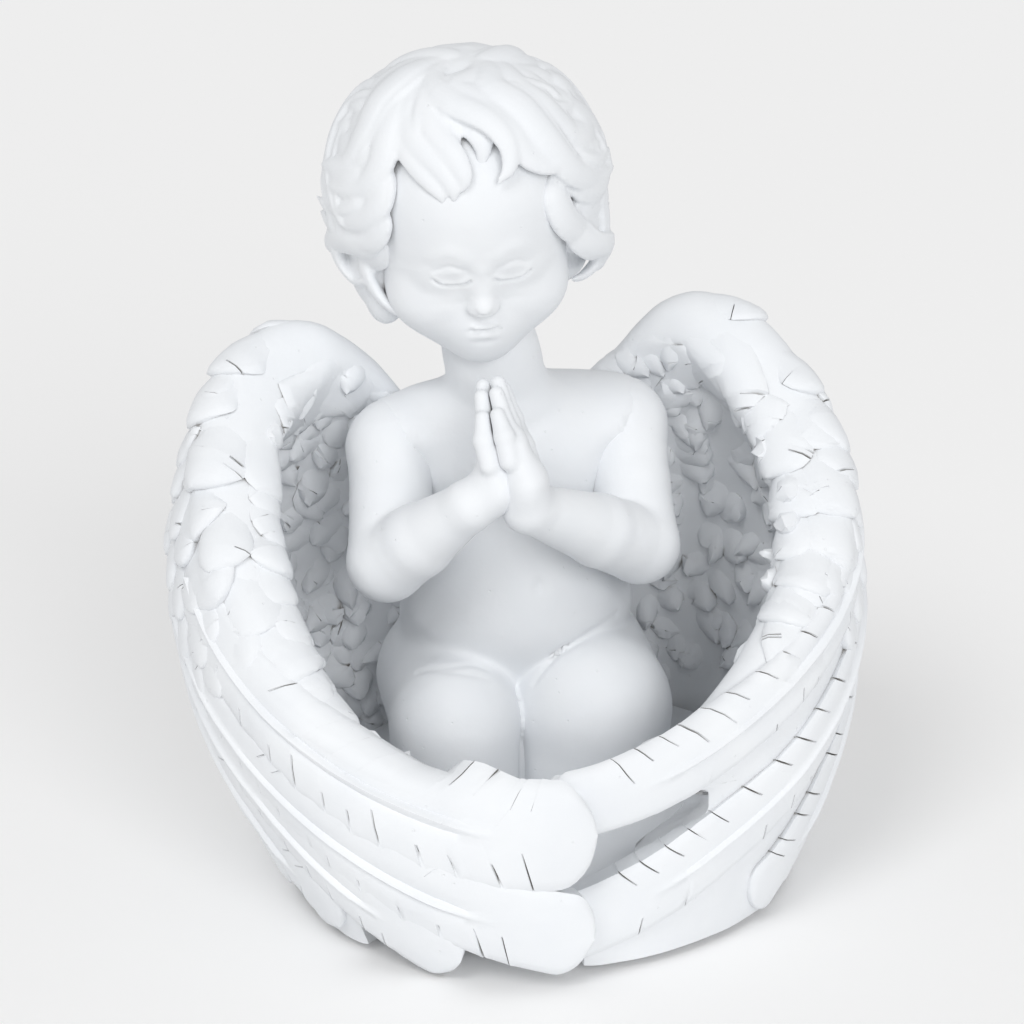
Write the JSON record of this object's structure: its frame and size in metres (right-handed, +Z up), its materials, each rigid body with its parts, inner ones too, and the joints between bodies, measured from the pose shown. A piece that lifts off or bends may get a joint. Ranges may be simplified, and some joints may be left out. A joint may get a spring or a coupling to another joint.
{
  "type": "figurine",
  "caption": "Kneeling winged child figurine with joined hands; its wings wrap round to the front and make a small nest.",
  "frame": {"origin": "the point on the table under the nest's axis, on the felt pad's underside", "axes": "+Z up, the figure faces -Y, and +X is the figure's own left"},
  "size_m": [0.1478, 0.1161, 0.1805],
  "materials": {
    "white_resin": "cast polyresin, sprayed matt white",
    "dowel_steel": "plain ground steel",
    "grey_felt": "pressed grey felt",
    "plug_resin": "unpainted resin"
  },
  "bodies": {
    "root": {"base_plate": "white_resin", "body": "white_resin", "head": "white_resin", "left_arm": "white_resin", "right_arm": "white_resin", "left_wing": "white_resin", "right_wing": "white_resin", "neck_dowel": "dowel_steel", "shoulder_dowels": "dowel_steel", "left_wing_dowels": "dowel_steel", "right_wing_dowels": "dowel_steel", "base_pins": "dowel_steel", "felt_pad": "grey_felt", "fill_plug": "plug_resin"}
  },
  "joints": []
}
